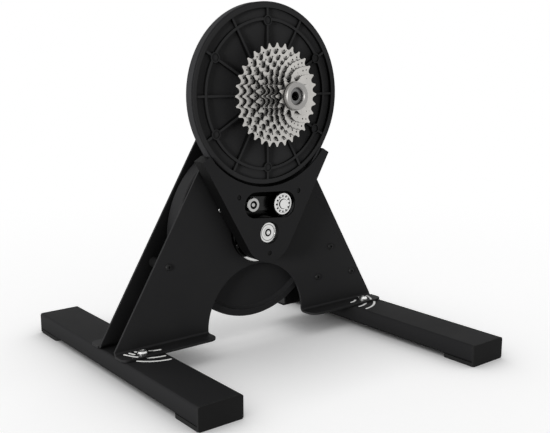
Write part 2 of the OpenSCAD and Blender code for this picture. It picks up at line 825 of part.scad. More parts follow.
module small_pulley() {
    land_r = pinion_r - rib_h - belt_gap;
    front_y = belt_y;
    back_y = belt_back_y + 0.8;
    color("#8c8c8a") turned(shaft_spot) polygon(concat(
        [[cup_r + 0.5, front_y], [land_r, front_y]],
        groove_points(pinion_r),
        [[land_r, back_y], [shaft_r + seat, back_y], [shaft_r + seat, cup_back_y + 0.5],
         [cup_r + 0.5, cup_back_y + 0.5]]));
}

// Flywheel

module flywheel() {
    back_y = flywheel_y + flywheel_w;
    rim_in_r = flywheel_r - rim_w;
    dish = 5;
    color("#3c3c3c") turned(shaft_spot) polygon([
        [shaft_r + seat, flywheel_y - 2], [20, flywheel_y - 2], [22, flywheel_y + dish],
        [rim_in_r - 3, flywheel_y + dish], [rim_in_r, flywheel_y + 2], [rim_in_r + 1, flywheel_y],
        [flywheel_r - 1.5, flywheel_y], [flywheel_r, flywheel_y + 1.5],
        [flywheel_r, back_y - 1.5], [flywheel_r - 1.5, back_y],
        [rim_in_r + 1, back_y], [rim_in_r, back_y - 2], [rim_in_r - 3, back_y - dish],
        [22, back_y - dish], [20, back_y + 0.6], [shaft_r + seat, back_y + 0.6]]);
}

module flywheel_shaft() {
    color("#d2d2d0") turned(shaft_spot) polygon([
        [0, shaft_front_y + 1], [0.7, shaft_front_y + 1], [1.6, shaft_front_y], [shaft_r - 0.5, shaft_front_y],
        [shaft_r, shaft_front_y + 0.5],
        [shaft_r, shaft_back_y - 0.5], [shaft_r - 0.5, shaft_back_y], [0, shaft_back_y]]);
}

// Collars that keep the pulley and the flywheel apart from the bearings
module shaft_collars() {
    spans = [
        [cover_bearing_y + cover_bearing_w, cup_back_y + 0.5],
        [belt_back_y + 0.8, mid_bearing_y],
        [mid_bearing_y + mid_bearing_w, flywheel_y - 2],
        [flywheel_y + flywheel_w + 0.6, rear_bearing_y]];
    color("#b0b0ae") for (s = spans)
        ring(shaft_spot, s[0], s[1], shaft_r + 1.8, shaft_r + seat);
}

flange_r = 43.5;
rear_flange_r = 30;

// Machined flange on the front plate that holds the middle shaft bearing
module bearing_flange_front() {
    color("#d8d8d6") difference() {
        turned(shaft_spot) polygon([
            [shaft_r + 4.5, flange_front_y], [flange_r - 0.8, flange_front_y],
            [flange_r, flange_front_y + 0.8],
            [flange_r, plate_y], [20 - slip, plate_y], [20 - slip, mid_bearing_y + mid_bearing_w],
            [bearing_r + seat, mid_bearing_y + mid_bearing_w],
            [bearing_r + seat, mid_bearing_y], [shaft_r + 4.5, mid_bearing_y]]);
        for (a = flange_screw_angles) rotate_about(shaft_spot, a)
            rod([flange_screw_spot_r, flywheel_z], flange_front_y - 1, plate_y + 1, m4_hole_r);
    }
}

module bearing_flange_rear() {
    back_y = rear_bearing_y + cover_bearing_w + 3;
    color("#2e2e2e") difference() {
        turned(shaft_spot) polygon([
            [cup_bore_r + seat, rear_plate_y], [20 - slip, rear_plate_y],
            [20 - slip, frame_back_y], [rear_flange_r, frame_back_y],
            [rear_flange_r, frame_back_y + 3], [20.5, frame_back_y + 3],
            [18, frame_back_y + 4.5], [17, back_y], [0, back_y], [0, back_y - 1.2],
            [shaft_r + 2.5, back_y - 1.2], [shaft_r + 2.5, rear_bearing_y + cover_bearing_w],
            [cup_bore_r + seat, rear_bearing_y + cover_bearing_w]]);
        for (a = [45 : 90 : 315]) rotate_about(shaft_spot, a)
            rod([rear_screw_r, flywheel_z], frame_back_y - 1, frame_back_y + 5, m4_hole_r);
    }
}

// One M4 screw, in the axle's flange, both bearing flanges and the speed sensor
module flange_screw(y, length) {
    socket_screw(y, length, m4_hole_r - seat, m4_head_r, m4_head_h);
}

module flange_screws() {
    color("#2a2a2a") {
        for (a = [0 : 90 : 270]) rotate_about(axle_spot, a + 45)
            translate([axle_screw_r, 0, axle_z]) flange_screw(plate_y - axle_flange_t, axle_flange_t + 3.5);
        for (a = flange_screw_angles) rotate_about(shaft_spot, a)
            translate([flange_screw_spot_r, 0, flywheel_z]) flange_screw(flange_front_y, 9.5);
        for (a = [45 : 90 : 315]) rotate_about(shaft_spot, a)
            translate([rear_screw_r, 2 * frame_back_y + 3, flywheel_z]) mirror([0, 1, 0])
                flange_screw(frame_back_y, 6.5);
        translate([sensor_spot.x, 0, sensor_spot.y]) flange_screw(plate_y, plate_t + 4);
    }
}

// Rim speed sensor on the back of the front plate
module speed_sensor() {
    y = plate_y + plate_t;
    color("#1f1f1f") difference() {
        flat(y, 7) translate([sensor_spot.x - 11, sensor_spot.y - 6]) square([18, 12]);
        rod(sensor_spot, y - 1, y + 4, m4_hole_r);
    }
}

module brake_carrier() {
    out_r = carrier_in_r + carrier_t;
    far = 1.3 * out_r;
    color("#2e2e2e") flat(plate_y + plate_t, plate_gap) difference() {
        translate([0, flywheel_z]) intersection() {
            difference() {
                circle(r = out_r);
                circle(r = carrier_in_r);
            }
            polygon([[0, 0], [-far * sin(brake_span / 2), far * cos(brake_span / 2)],
                     [far * sin(brake_span / 2), far * cos(brake_span / 2)]]);
        }
        for (side = [-1, 1]) translate([side * carrier_spot.x, carrier_spot.y])
            circle(r = frame_bolt_r + slip);
    }
}

module brake_magnets() {
    step = brake_span / magnet_count;
    color("#70706e") for (i = [0 : magnet_count - 1])
        rotate_about(shaft_spot, 90 + (i - (magnet_count - 1) / 2) * step)
            translate([flywheel_r + brake_gap, frame_mid_y - magnet_d / 2, flywheel_z - magnet_w / 2])
                cube([magnet_h, magnet_d, magnet_w]);
}

// Belt cover with its tray-like skirt

function tab_corner(rb, short) =
    let (z = tab_z - short * cos(cover_angle) + (cover_r - rb) * sin(cover_angle))
    [(rb + (z - flywheel_z) * sin(cover_angle)) / cos(cover_angle), z];

module cover_outline(rb, short) {
    low = [rb * cos(cover_angle), flywheel_z - rb * sin(cover_angle)];
    corner = tab_corner(rb, short);
    tip = corner + 14 * [-cos(cover_angle), sin(cover_angle)];
    difference() {
        union() {
            translate([0, flywheel_z]) circle(r = rb);
            polygon([low, corner, tip, [-tip.x, tip.y], [-corner.x, corner.y], [-low.x, low.y]]);
        }
        translate([0, axle_z]) circle(r = cover_top_r);
    }
}

module window_outline() {
    across = idler_spot - tension_pivot;
    side = [-across.y, across.x] / norm(across);
    translate(tension_pivot) circle(r = window_pivot_r);
    translate(idler_spot) circle(r = window_idler_r);
    polygon([tension_pivot + side * window_pivot_r, idler_spot + side * window_idler_r,
             idler_spot - side * window_idler_r, tension_pivot - side * window_pivot_r]);
}

module belt_cover() {
    color("#282828") difference() {
        union() {
            flat(cover_y, cover_t) difference() {
                cover_outline(cover_r, 0);
                window_outline();
                translate([0, flywheel_z]) circle(r = cup_r - 0.6);
                for (s = cover_screw_spots) translate(s) circle(r = cover_screw_r + 0.15);
            }
            flat(cover_y + cover_t, cover_d - cover_t) difference() {
                cover_outline(cover_r, 0);
                cover_outline(cover_r - cover_t, cover_t);
            }
            turned(shaft_spot) polygon([
                [cup_bore_r, cover_bearing_y], [cup_bore_r, cover_bearing_y - 0.8],
                [cup_r - 0.6, cover_y + cover_t - 0.5],
                [cup_r - 0.6, cover_y + cover_t - 1], [cup_r, cover_y + cover_t - 1],
                [cup_r, cup_back_y], [shaft_r + 3.2, cup_back_y],
                [shaft_r + 3.2, cover_bearing_y + cover_bearing_w],
                [cup_bore_r, cover_bearing_y + cover_bearing_w]]);
        }
        for (s = cover_screw_spots)
            rod(s, cover_y - 1, cover_y + cover_sink, cover_head_r + 0.3);
    }
}

function standoff_end(s) = norm(s - shaft_spot) < flange_r ? flange_front_y : plate_y;

module cover_standoffs() {
    color("#303030") for (s = cover_screw_spots)
        ring(s, cover_y + cover_t, standoff_end(s), standoff_r, cover_screw_r + slip);
}

module cover_screws() {
    color("#161616") for (s = cover_screw_spots) translate([s.x, 0, s.y])
        socket_screw(cover_y + cover_sink, cover_screw_len, cover_screw_r, cover_head_r, cover_head_h);
}

// Belt tensioner: an arm on a fixed post, with an idler on a ball bearing

post_r = 5;
post_head_r = 10;
post_head_y = arm_y - 12;
post_dish_r = 5.4;
arm_boss_r = 9.6;

ball_count = 12;
ball_r = 1.8;
ball_spot_r = 10.8;
race_r = 12.5;
inner_race_r = 9.2;
idler_cap_r = 6.3;

module tensioner_arm() {
    across = idler_spot - tension_pivot;
    side = [-across.y, across.x] / norm(across);
    color("#c8c8c6") difference() {
        union() {
            flat(arm_y, arm_t) {
                translate(tension_pivot) circle(r = arm_boss_r);
                translate(idler_spot) circle(r = arm_boss_r);
                polygon([tension_pivot + side * arm_boss_r, idler_spot + side * arm_boss_r,
                         idler_spot - side * arm_boss_r, tension_pivot - side * arm_boss_r]);
            }
            rod(tension_pivot, arm_y - 6, arm_y + 1, arm_boss_r);
            rod(idler_spot, idler_y - 1.3, idler_y - 0.1, idler_cap_r);
            rod(idler_spot, idler_y - 0.2, arm_y + 1, 5);
            rod(idler_spot, idler_y + idler_bearing_w, arm_y + 1, 7);
        }
        rod(tension_pivot, arm_y - 10, arm_y + arm_t + 1, post_r + slip);
    }
    color("#d8d8d6") turned(idler_spot) difference() {
        translate([5 + seat, idler_y]) square([inner_race_r - 5 - seat, idler_bearing_w]);
        translate([ball_spot_r, idler_y + idler_bearing_w / 2]) circle(r = ball_r + slip);
    }
}

// Shoulder bolt with a dished head, which carries the arm
module tensioner_post() {
    head_back_y = arm_y - 6.2;
    dish_y = post_head_y + 3;
    shoulder_end_y = flange_front_y - m4_head_h - 0.3;
    color("#c8c8c6") turned(tension_pivot) polygon([
        [0, post_head_y + 0.4], [2.4, post_head_y + 0.4], [2.8, post_head_y + 0.8], [2.8, dish_y],
        [post_dish_r, dish_y], [post_dish_r, post_head_y], [post_head_r - 1, post_head_y],
        [post_head_r, post_head_y + 1], [post_head_r, head_back_y], [post_r, head_back_y],
        [post_r, arm_y + arm_t + 0.2], [post_r + 2, arm_y + arm_t + 0.2],
        [post_r + 2, shoulder_end_y], [3, shoulder_end_y], [3, plate_y], [0, plate_y]]);
}

module idler_roller() {
    front = idler_y;
    back = idler_y + idler_bearing_w;
    color("#dededc") turned(idler_spot) difference() {
        polygon([
            [race_r, front], [idler_bearing_r - 0.4, front], [idler_bearing_r, front + 0.4],
            [idler_bearing_r, front + 0.8], [idler_r, front + 0.8], [idler_r, belt_back_y],
            [idler_bearing_r - 3, belt_back_y], [idler_bearing_r - 3, back], [race_r, back]]);
        translate([ball_spot_r, idler_y + idler_bearing_w / 2]) circle(r = ball_r + slip);
    }
}

module idler_balls() {
    color("#dededc") for (i = [0 : ball_count - 1]) rotate_about(idler_spot, i * 360 / ball_count)
        translate([idler_spot.x + ball_spot_r, idler_y + idler_bearing_w / 2, idler_spot.y])
            sphere(r = ball_r);
}

front_plate();
rear_plate();
frame_spacers();
frame_bolts();
frame_nuts();
leg_tube_left();
leg_tube_right();
leg_feet_left();
leg_feet_right();
leg_sleeve_left();
leg_sleeve_right();
pivot_bolts();
pivot_nuts();
axle_tube();
axle_end_cap();
axle_flange();
axle_spacer();
axle_nut();
axle_sleeves();
drive_pulley();
hub_shell();
hub_screws();
ratchet_ring();
hub_bearing_outers();
hub_bearing_inners();
freehub_body();
freehub_pawls();
freehub_bearing_outers();
freehub_bearing_inners();
sprocket_32();
sprocket_28();
sprocket_24();
sprocket_21();
sprocket_18();
sprocket_16();
sprocket_14();
sprocket_12();
sprocket_11();
sprocket_spacers();
lockring();
drive_belt();
small_pulley();
flywheel();
flywheel_shaft();
shaft_collars();
shaft_bearing_outers();
shaft_bearing_inners();
bearing_flange_front();
bearing_flange_rear();
flange_screws();
brake_carrier();
brake_magnets();
speed_sensor();
belt_cover();
cover_standoffs();
cover_screws();
tensioner_arm();
tensioner_post();
idler_roller();
idler_balls();
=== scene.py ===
"""Looks for the direct drive bike trainer: finishes, softened edges, swivel marks, floor, light, camera."""

import json
import math

import bmesh
import bpy
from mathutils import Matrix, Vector

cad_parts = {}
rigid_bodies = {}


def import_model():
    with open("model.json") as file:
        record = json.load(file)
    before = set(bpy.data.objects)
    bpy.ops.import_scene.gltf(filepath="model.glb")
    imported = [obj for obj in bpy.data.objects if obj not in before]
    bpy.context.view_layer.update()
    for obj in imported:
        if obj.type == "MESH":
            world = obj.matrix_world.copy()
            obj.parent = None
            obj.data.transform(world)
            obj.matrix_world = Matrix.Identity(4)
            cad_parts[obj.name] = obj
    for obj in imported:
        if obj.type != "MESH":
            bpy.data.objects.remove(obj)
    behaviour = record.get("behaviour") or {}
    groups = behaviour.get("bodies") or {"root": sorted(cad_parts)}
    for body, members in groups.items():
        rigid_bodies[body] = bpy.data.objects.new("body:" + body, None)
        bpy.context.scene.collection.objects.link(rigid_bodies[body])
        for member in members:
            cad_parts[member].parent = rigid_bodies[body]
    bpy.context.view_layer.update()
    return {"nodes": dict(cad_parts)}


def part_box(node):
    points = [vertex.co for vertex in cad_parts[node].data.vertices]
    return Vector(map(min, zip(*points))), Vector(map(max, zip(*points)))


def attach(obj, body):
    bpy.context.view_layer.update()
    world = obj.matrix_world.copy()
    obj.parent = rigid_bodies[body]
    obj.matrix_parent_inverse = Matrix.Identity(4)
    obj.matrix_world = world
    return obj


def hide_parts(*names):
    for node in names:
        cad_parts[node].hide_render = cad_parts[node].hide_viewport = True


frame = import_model()
nodes = frame["nodes"]
MM = 0.001

# Driving values, read from the frame

axle_low, axle_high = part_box("axle_tube")
AXLE = Vector((0.0, (axle_low.y + axle_high.y) / 2, (axle_low.z + axle_high.z) / 2))
wheel_low, wheel_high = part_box("flywheel")
SHAFT = Vector((0.0, (wheel_low.y + wheel_high.y) / 2, (wheel_low.z + wheel_high.z) / 2))
idler_low, idler_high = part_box("idler_roller")
IDLER = (idler_low + idler_high) / 2
post_low, post_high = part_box("tensioner_post")
POST = (post_low + post_high) / 2
sensor_low, sensor_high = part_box("speed_sensor")
SENSOR = (sensor_low + sensor_high) / 2
plate_low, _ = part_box("front_plate")
bolt_low, bolt_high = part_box("pivot_bolts")
leg_low, leg_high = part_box("leg_tube_right")
PIVOT_X = (leg_low.x + leg_high.x) / 2
PIVOT_Y = (bolt_low.y + bolt_high.y) / 2
SHEET_T = 3 * MM
FLANGE_TOP = plate_low.z + SHEET_T
LEG_TOP = leg_high.z

# The front flange gets a painted highlight below this height, measured from the shaft
FLANGE_HIGHLIGHT_BELOW = -34.5 * MM

# Depths of the finest relief, and the angle above which an edge counts as sharp
COAT_RELIEF = 0.05 * MM
PLATED_RELIEF = 0.03 * MM
TURNED_RELIEF = 0.02 * MM
SHARP_ANGLE = math.radians(35)


# Shared node groups

def new_group(name, inputs, outputs):
    group = bpy.data.node_groups.new(name, "ShaderNodeTree")
    for label, kind, value in inputs:
        socket = group.interface.new_socket(label, in_out="INPUT", socket_type=kind)
        if value is not None:
            socket.default_value = value
    for label, kind in outputs:
        group.interface.new_socket(label, in_out="OUTPUT", socket_type=kind)
    return group, group.nodes.new("NodeGroupInput"), group.nodes.new("NodeGroupOutput")


def math_node(tree, operation, *values):
    node = tree.nodes.new("ShaderNodeMath")
    node.operation = operation
    for i, value in enumerate(values):
        if isinstance(value, (int, float)):
            node.inputs[i].default_value = value
        else:
            tree.links.new(value, node.inputs[i])
    return node.outputs[0]


def range_node(tree, value, low, high, to_low=0.0, to_high=1.0):
    node = tree.nodes.new("ShaderNodeMapRange")
    node.inputs["From Min"].default_value = low
    node.inputs["From Max"].default_value = high
    node.inputs["To Min"].default_value = to_low
    node.inputs["To Max"].default_value = to_high
    tree.links.new(value, node.inputs["Value"])
    return node.outputs["Result"]


def noise_node(tree, vector, scale, detail=3.0, roughness=0.5):
    node = tree.nodes.new("ShaderNodeTexNoise")
    node.inputs["Detail"].default_value = detail
    node.inputs["Roughness"].default_value = roughness
    tree.links.new(vector, node.inputs["Vector"])
    if isinstance(scale, (int, float)):
        node.inputs["Scale"].default_value = scale
    else:
        tree.links.new(scale, node.inputs["Scale"])
    return node.outputs["Fac"]


def radius_from(tree, placed):
    """Distance of the vector placed from the Y axis, and the node that holds its coordinates."""
    split = tree.nodes.new("ShaderNodeSeparateXYZ")
    tree.links.new(placed, split.inputs[0])
    across = math_node(tree, "MULTIPLY", split.outputs["X"], split.outputs["X"])
    up = math_node(tree, "MULTIPLY", split.outputs["Z"], split.outputs["Z"])
    return math_node(tree, "SQRT", math_node(tree, "ADD", across, up)), split


def make_coat_grain():
    """Fine orange peel of a coat or a moulding, with slow patches in its tone."""
    group, inside, outside = new_group(
        "coat_grain",
        [("Vector", "NodeSocketVector", None), ("Grain Scale", "NodeSocketFloat", 1400.0)],
        [("Height", "NodeSocketFloat"), ("Patches", "NodeSocketFloat")],
    )
    vector = inside.outputs["Vector"]
    fine = noise_node(group, vector, inside.outputs["Grain Scale"], 2.0)
    broad = noise_node(group, vector, 9.0, 4.0, 0.6)
    group.links.new(fine, outside.inputs["Height"])
    group.links.new(range_node(group, broad, 0.35, 0.65), outside.inputs["Patches"])
    return group


def make_turning_marks():
    """Fine rings that a lathe leaves round the Y axis, broken up by a little noise."""
    group, inside, outside = new_group(
        "turning_marks",
        [("Vector", "NodeSocketVector", None), ("Rings per Metre", "NodeSocketFloat", 2500.0)],
        [("Height", "NodeSocketFloat"), ("Streaks", "NodeSocketFloat")],
    )
    vector = inside.outputs["Vector"]
    radius, split = radius_from(group, vector)
    along = math_node(group, "MULTIPLY", split.outputs["Y"], 0.7)
    place = math_node(group, "ADD", radius, along)
    turns = math_node(group, "MULTIPLY", place, inside.outputs["Rings per Metre"])
    joined = group.nodes.new("ShaderNodeCombineXYZ")
    group.links.new(turns, joined.inputs["X"])
    fine = noise_node(group, joined.outputs[0], 1.0, 2.0, 0.7)
    cloud = noise_node(group, vector, 60.0, 3.0)
    group.links.new(fine, outside.inputs["Height"])
    group.links.new(math_node(group, "MULTIPLY", fine, range_node(group, cloud, 0.3, 0.7, 0.6, 1.0)),
                    outside.inputs["Streaks"])
    return group


def make_edge_wear():
    """Finds sharp edges, so that a coat can look thinner and shinier there."""
    group, inside, outside = new_group(
        "edge_wear",
        [("Vector", "NodeSocketVector", None), ("Amount", "NodeSocketFloat", 0.5)],
        [("Mask", "NodeSocketFloat")],
    )
    bevel = group.nodes.new("ShaderNodeBevel")
    bevel.samples = 4
    bevel.inputs["Radius"].default_value = 0.9 * MM
    geometry = group.nodes.new("ShaderNodeNewGeometry")
    dot = group.nodes.new("ShaderNodeVectorMath")
    dot.operation = "DOT_PRODUCT"
    group.links.new(bevel.outputs[0], dot.inputs[0])
    group.links.new(geometry.outputs["Normal"], dot.inputs[1])
    edge = range_node(group, dot.outputs["Value"], 1.0, 0.8)
    rub = range_node(group, noise_node(group, inside.outputs["Vector"], 160.0, 4.0, 0.65), 0.4, 0.62)
    mask = math_node(group, "MULTIPLY", edge, rub)
    group.links.new(math_node(group, "MULTIPLY", mask, inside.outputs["Amount"]), outside.inputs["Mask"])
    return group


def make_dust():
    """Thin dust that settles on faces that look up."""
    group, inside, outside = new_group(
        "settled_dust",
        [("Vector", "NodeSocketVector", None), ("Amount", "NodeSocketFloat", 0.3)],
        [("Mask", "NodeSocketFloat")],
    )
    geometry = group.nodes.new("ShaderNodeNewGeometry")
    split = group.nodes.new("ShaderNodeSeparateXYZ")
    group.links.new(geometry.outputs["Normal"], split.inputs[0])
    upward = range_node(group, split.outputs["Z"], 0.55, 1.0)
    specks = range_node(group, noise_node(group, inside.outputs["Vector"], 420.0, 5.0, 0.75), 0.45, 0.8)
    mask = math_node(group, "MULTIPLY", upward, specks)
    group.links.new(math_node(group, "MULTIPLY", mask, inside.outputs["Amount"]), outside.inputs["Mask"])
    return group


def make_corner_shade():
    """1 in the open and lower in corners and under pieces that stand close."""
    group, inside, outside = new_group(
        "corner_shade",
        [("Reach", "NodeSocketFloat", 0.005)],
        [("Clear", "NodeSocketFloat")],
    )
    open_sky = group.nodes.new("ShaderNodeAmbientOcclusion")
    open_sky.samples = 12
    group.links.new(inside.outputs["Reach"], open_sky.inputs["Distance"])
    group.links.new(open_sky.outputs["AO"], outside.inputs["Clear"])
    return group


COAT_GRAIN = make_coat_grain()
TURNING_MARKS = make_turning_marks()
EDGE_WEAR = make_edge_wear()
DUST = make_dust()
CORNER_SHADE = make_corner_shade()


# Finishes

DUST_TONE = (0.2, 0.195, 0.185)


def start_material(name, metallic, specular=0.5):
    material = bpy.data.materials.new(name)
    material.use_nodes = True
    tree = material.node_tree
    shader = tree.nodes["Principled BSDF"]
    shader.inputs["Metallic"].default_value = metallic
    shader.inputs["Specular IOR Level"].default_value = specular
    coordinates = tree.nodes.new("ShaderNodeTexCoord")
    return material, tree, shader, coordinates.outputs["Object"]


def place_group(tree, group, vector, **values):
    node = tree.nodes.new("ShaderNodeGroup")
    node.node_tree = group
    tree.links.new(vector, node.inputs["Vector"])
    for label, value in values.items():
        node.inputs[label.replace("_", " ")].default_value = value
    return node


def mix_colour(tree, factor, first, second):
    node = tree.nodes.new("ShaderNodeMix")
    node.data_type = "RGBA"
    tree.links.new(factor, node.inputs["Factor"])
    for socket, value in ((node.inputs["A"], first), (node.inputs["B"], second)):
        if isinstance(value, tuple):
            socket.default_value = (*value, 1.0)
        else:
            tree.links.new(value, socket)
    return node.outputs["Result"]


def bump(tree, shader, height, strength, distance):
    node = tree.nodes.new("ShaderNodeBump")
    node.inputs["Strength"].default_value = strength
    node.inputs["Distance"].default_value = distance
    tree.links.new(height, node.inputs["Height"])
    tree.links.new(node.outputs["Normal"], shader.inputs["Normal"])


def centred(tree, vector, centre):
    """Moves a pattern's origin to the point centre."""
    node = tree.nodes.new("ShaderNodeMapping")
    node.inputs["Location"].default_value = -centre
    tree.links.new(vector, node.inputs["Vector"])
    return node.outputs["Vector"]


def cut_faces(tree, flat=0.75, turned_away=0.35):
    """1 where a face looks away from the Y axis, as a rib's side or a sprocket's cut edge does."""
    geometry = tree.nodes.new("ShaderNodeNewGeometry")
    split = tree.nodes.new("ShaderNodeSeparateXYZ")
    tree.links.new(geometry.outputs["Normal"], split.inputs[0])
    return range_node(tree, math_node(tree, "ABSOLUTE", split.outputs["Y"]), flat, turned_away)


def corner_clear(tree, reach_mm, low, high):
    """0 deep in a corner and 1 in the open."""
    corner = tree.nodes.new("ShaderNodeGroup")
    corner.node_tree = CORNER_SHADE
    corner.inputs["Reach"].default_value = reach_mm * MM
    return range_node(tree, corner.outputs["Clear"], low, high)


def grey(level):
    return (level, level, level)


def scaled(tone, share):
    return tuple(share * channel for channel in tone)


def coated(name, tone, patch_tone, roughness, wear, dust, grain=1400.0, relief=0.25, worn=grey(0.08),
           corner_mm=0.0, corner_range=(0.3, 0.85), wall_shade=1.0, wall_range=(0.75, 0.35)):
    """A painted, powder coated or moulded surface."""
    material, tree, shader, vector = start_material(name, 0.0, 0.1)
    texture = place_group(tree, COAT_GRAIN, vector, Grain_Scale=grain)
    edges = place_group(tree, EDGE_WEAR, vector, Amount=wear)
    settled = place_group(tree, DUST, vector, Amount=dust)
    colour = mix_colour(tree, texture.outputs["Patches"], tone, patch_tone)
    colour = mix_colour(tree, edges.outputs["Mask"], colour, worn)
    colour = mix_colour(tree, settled.outputs["Mask"], colour, DUST_TONE)
    # Painted shade: the tone falls to 0.15 of itself in corners and under pieces that stand close
    if corner_mm:
        colour = mix_colour(tree, corner_clear(tree, corner_mm, *corner_range), scaled(tone, 0.15), colour)
    # Painted shade: faces that look away from the Y axis, such as rib sides and cover walls, are darkened to
    # wall_shade of the tone
    if wall_shade < 1.0:
        colour = mix_colour(tree, cut_faces(tree, *wall_range), colour, scaled(tone, wall_shade))
    tree.links.new(colour, shader.inputs["Base Color"])
    rough = range_node(tree, texture.outputs["Patches"], 0.0, 1.0, roughness - 0.03, roughness + 0.04)
    rough = math_node(tree, "SUBTRACT", rough, math_node(tree, "MULTIPLY", edges.outputs["Mask"], 0.12))
    tree.links.new(rough, shader.inputs["Roughness"])
    bump(tree, shader, texture.outputs["Height"], relief, COAT_RELIEF)
    return material


def oxide_with_painted_glint(name, tone, bright_tone, head, head_radius):
    """Black screws with a painted glint: the head of the one at the point head is painted bright."""
    material, tree, shader, vector = start_material(name, 1.0)
    radius, _ = radius_from(tree, centred(tree, vector, head))
    # Painted glint: a bright patch on the one screw head near the point head
    glint_spot = range_node(tree, radius, head_radius + 0.2 * MM, head_radius)
    texture = place_group(tree, COAT_GRAIN, vector, Grain_Scale=900.0)
    colour = mix_colour(tree, texture.outputs["Patches"], tone, scaled(tone, 1.4))
    tree.links.new(mix_colour(tree, glint_spot, colour, bright_tone), shader.inputs["Base Color"])
    rough = range_node(tree, texture.outputs["Patches"], 0.0, 1.0, 0.3, 0.4)
    tree.links.new(rough, shader.inputs["Roughness"])
    bump(tree, shader, texture.outputs["Height"], 0.15, TURNED_RELIEF)
    return material


def turned_metal(name, tone, streak_tone, roughness, centre, rings=2500.0, relief=0.2):
    """Metal turned on a lathe about an axis along Y through the point centre."""
    material, tree, shader, vector = start_material(name, 1.0)
    marks = place_group(tree, TURNING_MARKS, centred(tree, vector, centre), Rings_per_Metre=rings)
    tree.links.new(mix_colour(tree, marks.outputs["Streaks"], tone, streak_tone), shader.inputs["Base Color"])
    rough = range_node(tree, marks.outputs["Streaks"], 0.2, 0.8, roughness - 0.06, roughness + 0.08)
    tree.links.new(rough, shader.inputs["Roughness"])
    bump(tree, shader, marks.outputs["Height"], relief, TURNED_RELIEF)
    return material


def band_mask(tree, radius, bands_mm):
    """1 between the two radii of any band, with an edge a tenth of a millimetre wide."""
    total = None
    for low, high in bands_mm:
        inner = range_node(tree, radius, (low - 0.1) * MM, low * MM)
        outer = range_node(tree, radius, (high + 0.1) * MM, high * MM)
        band = math_node(tree, "MULTIPLY", inner, outer)
        total = band if total is None else math_node(tree, "MAXIMUM", total, band)
    return total


def bearing_metal(name, tone, streak_tone, roughness, centre, bands_mm, groove_tone):
    """Ground bearing rings about the point centre, black with oil and shadow in their grooves."""
    material, tree, shader, vector = start_material(name, 1.0)
    placed = centred(tree, vector, centre)
    marks = place_group(tree, TURNING_MARKS, placed, Rings_per_Metre=4000.0)
    radius, _ = radius_from(tree, placed)
    groove = band_mask(tree, radius, bands_mm)
    bright = mix_colour(tree, marks.outputs["Streaks"], tone, streak_tone)
    tree.links.new(mix_colour(tree, groove, bright, groove_tone), shader.inputs["Base Color"])
    rough = range_node(tree, marks.outputs["Streaks"], 0.2, 0.8, roughness - 0.06, roughness + 0.08)
    tree.links.new(rough, shader.inputs["Roughness"])
    bump(tree, shader, marks.outputs["Height"], 0.15, TURNED_RELIEF)
    return material


def painted_low_highlight(name, dark_tone, bright_tone, centre, highlight_below):
    """A dark turned flange with a painted highlight: bright only below a height that is measured from the
    point centre.
    """
    material, tree, shader, vector = start_material(name, 1.0)
    placed = centred(tree, vector, centre)
    marks = place_group(tree, TURNING_MARKS, placed, Rings_per_Metre=2500.0)
    _, split = radius_from(tree, placed)
    # Painted highlight: bright below the height, dark above it
    low = range_node(tree, split.outputs["Z"], highlight_below + 0.6 * MM, highlight_below)
    bright = mix_colour(tree, marks.outputs["Streaks"], bright_tone, scaled(bright_tone, 1.15))
    tree.links.new(mix_colour(tree, low, dark_tone, bright), shader.inputs["Base Color"])
    rough = range_node(tree, marks.outputs["Streaks"], 0.2, 0.8, 0.14, 0.26)
    tree.links.new(rough, shader.inputs["Roughness"])
    bump(tree, shader, marks.outputs["Height"], 0.08, TURNED_RELIEF)
    return material


def plated_metal(name, tone, patch_tone, roughness, grain=900.0, relief=0.15, cut_shade=1.0,
                 corner_mm=0.0, corner_tone=None):
    """Pressed or plated metal, cloudy in tone and gloss, with painted shade on its side faces and in its
    corners.
    """
    material, tree, shader, vector = start_material(name, 1.0)
    texture = place_group(tree, COAT_GRAIN, vector, Grain_Scale=grain)
    edges = place_group(tree, EDGE_WEAR, vector, Amount=0.6)
    colour = mix_colour(tree, texture.outputs["Patches"], tone, patch_tone)
    colour = mix_colour(tree, edges.outputs["Mask"], colour, tuple(min(1.0, 1.25 * c) for c in tone))
    # Painted shade: corner_tone deep in corners, as in the valleys between sprockets
    if corner_tone:
        colour = mix_colour(tree, corner_clear(tree, corner_mm, 0.5, 0.64), corner_tone, colour)
    # Painted shade: side faces are darkened to cut_shade of the tone
    if cut_shade < 1.0:
        colour = mix_colour(tree, cut_faces(tree), colour, scaled(tone, cut_shade))
    tree.links.new(colour, shader.inputs["Base Color"])
    rough = range_node(tree, texture.outputs["Height"], 0.3, 0.7, roughness - 0.05, roughness + 0.07)
    if cut_shade < 1.0:
        rough = math_node(tree, "MAXIMUM", rough, math_node(tree, "MULTIPLY", cut_faces(tree), 0.85))
    tree.links.new(rough, shader.inputs["Roughness"])
    bump(tree, shader, texture.outputs["Height"], relief, PLATED_RELIEF)
    return material


def seated_metal(name, dark_tone, bright_tone, seat_bands_mm, centre):
    """A black arm whose bearing seat, in bands round the point centre, is ground bright."""
    material, tree, shader, vector = start_material(name, 1.0)
    placed = centred(tree, vector, centre)
    marks = place_group(tree, TURNING_MARKS, placed, Rings_per_Metre=3000.0)
    radius, split = radius_from(tree, placed)
    front = range_node(tree, split.outputs["Y"], 4.0 * MM, 3.0 * MM)
    seat = math_node(tree, "MULTIPLY", band_mask(tree, radius, seat_bands_mm), front)
    bright = mix_colour(tree, marks.outputs["Streaks"], bright_tone, scaled(bright_tone, 1.15))
    tree.links.new(mix_colour(tree, seat, dark_tone, bright), shader.inputs["Base Color"])
    rough = range_node(tree, marks.outputs["Streaks"], 0.2, 0.8, 0.2, 0.34)
    tree.links.new(rough, shader.inputs["Roughness"])
    bump(tree, shader, marks.outputs["Height"], 0.1, TURNED_RELIEF)
    return material


